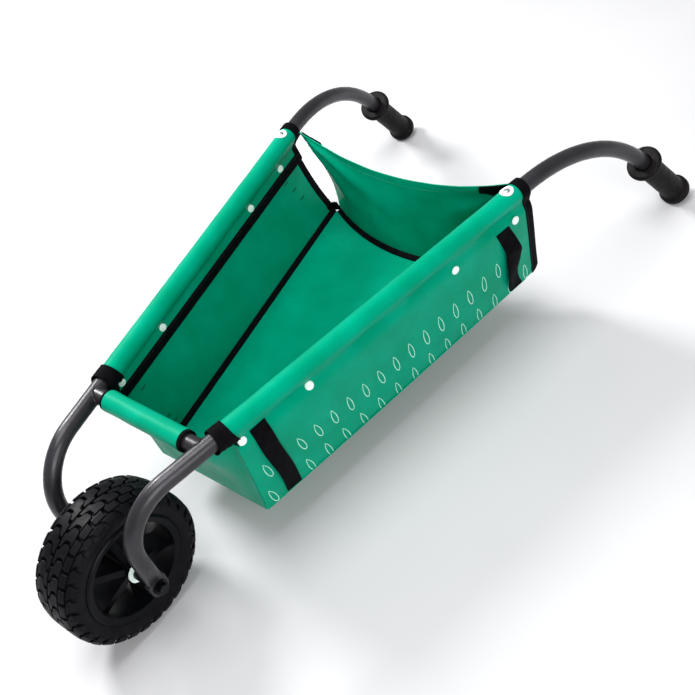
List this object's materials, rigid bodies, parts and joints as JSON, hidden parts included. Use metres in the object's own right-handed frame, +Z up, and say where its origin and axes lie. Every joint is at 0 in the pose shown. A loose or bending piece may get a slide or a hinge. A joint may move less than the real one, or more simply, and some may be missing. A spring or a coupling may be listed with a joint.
{
  "type": "child's wheelbarrow",
  "caption": "Child's wheelbarrow: a green fabric tub slung between two bent steel tubes, one chunky front wheel, and dropped handles whose grips rest on the ground.",
  "frame": {"origin": "on the ground, under the middle of the barrow's bounding box", "axes": "+X to the user's right, -Y forward to the wheel and +Y back to the handles, +Z up"},
  "size_m": [0.4792, 0.8858, 0.2067],
  "materials": {
    "tube_paint": "satin graphite powder coat on bent steel tube",
    "grip_rubber": "moulded soft rubber, matt",
    "steel": "zinc-plated steel",
    "tyre_rubber": "matt black rubber with a moulded tread",
    "rim_plastic": "moulded black polypropylene",
    "white_plastic": "moulded white acetal",
    "green_fabric": "coated plain-weave polyester, smooth side out",
    "black_webbing": "woven black binding tape and webbing"
  },
  "bodies": {
    "frame": {"rail_right": "tube_paint", "rail_left": "tube_paint", "crossbar": "tube_paint", "handle_right": "tube_paint", "handle_left": "tube_paint", "grip_right": "grip_rubber", "grip_left": "grip_rubber", "axle_bolt": "steel", "axle_nut": "steel", "washer_right": "steel", "washer_left": "steel", "spacer_right": "rim_plastic", "spacer_left": "rim_plastic", "crossbar_sleeve": "green_fabric", "crossbar_binding_right": "black_webbing", "crossbar_binding_left": "black_webbing", "front_panel": "green_fabric", "floor_panel": "green_fabric", "rear_panel": "green_fabric", "rear_seam": "black_webbing", "side_panel_right": "green_fabric", "side_panel_left": "green_fabric", "rail_sleeve_right": "green_fabric", "rail_sleeve_left": "green_fabric", "inner_flap_right": "green_fabric", "inner_flap_left": "green_fabric", "flap_binding_right": "black_webbing", "flap_binding_left": "black_webbing", "front_band_right": "black_webbing", "front_band_left": "black_webbing", "rear_binding_right": "black_webbing", "rear_binding_left": "black_webbing", "corner_strap_right": "black_webbing", "corner_strap_left": "black_webbing", "floor_seam_right": "black_webbing", "floor_seam_left": "black_webbing", "loop_front_right": "black_webbing", "loop_front_left": "black_webbing", "loop_rear_right": "black_webbing", "loop_rear_left": "black_webbing", "grommet_right": "white_plastic", "grommet_left": "white_plastic", "snap_1_right": "white_plastic", "snap_1_left": "white_plastic", "snap_2_right": "white_plastic", "snap_2_left": "white_plastic", "snap_3_right": "white_plastic", "snap_3_left": "white_plastic", "snap_4_right": "white_plastic", "snap_4_left": "white_plastic"},
    "wheel": {"tyre": "tyre_rubber", "rim": "rim_plastic", "bushing_right": "white_plastic", "bushing_left": "white_plastic"},
    "button_right": {"button_right": "steel"},
    "button_left": {"button_left": "steel"}
  },
  "joints": [
    {"name": "wheel_spin", "type": "hinge", "parent": "frame", "child": "wheel", "pos_m": [0, -0.35794, 0.085], "axis": [1, 0, 0], "continuous": true},
    {"name": "button_right_press", "type": "slide", "parent": "frame", "child": "button_right", "axis": [0, 0, -1], "range_m": [0, 0.003], "stiffness_N_per_m": 600, "springref_m": -0.001},
    {"name": "button_left_press", "type": "slide", "parent": "frame", "child": "button_left", "axis": [0, 0, -1], "range_m": [0, 0.003], "stiffness_N_per_m": 600, "springref_m": -0.001}
  ]
}
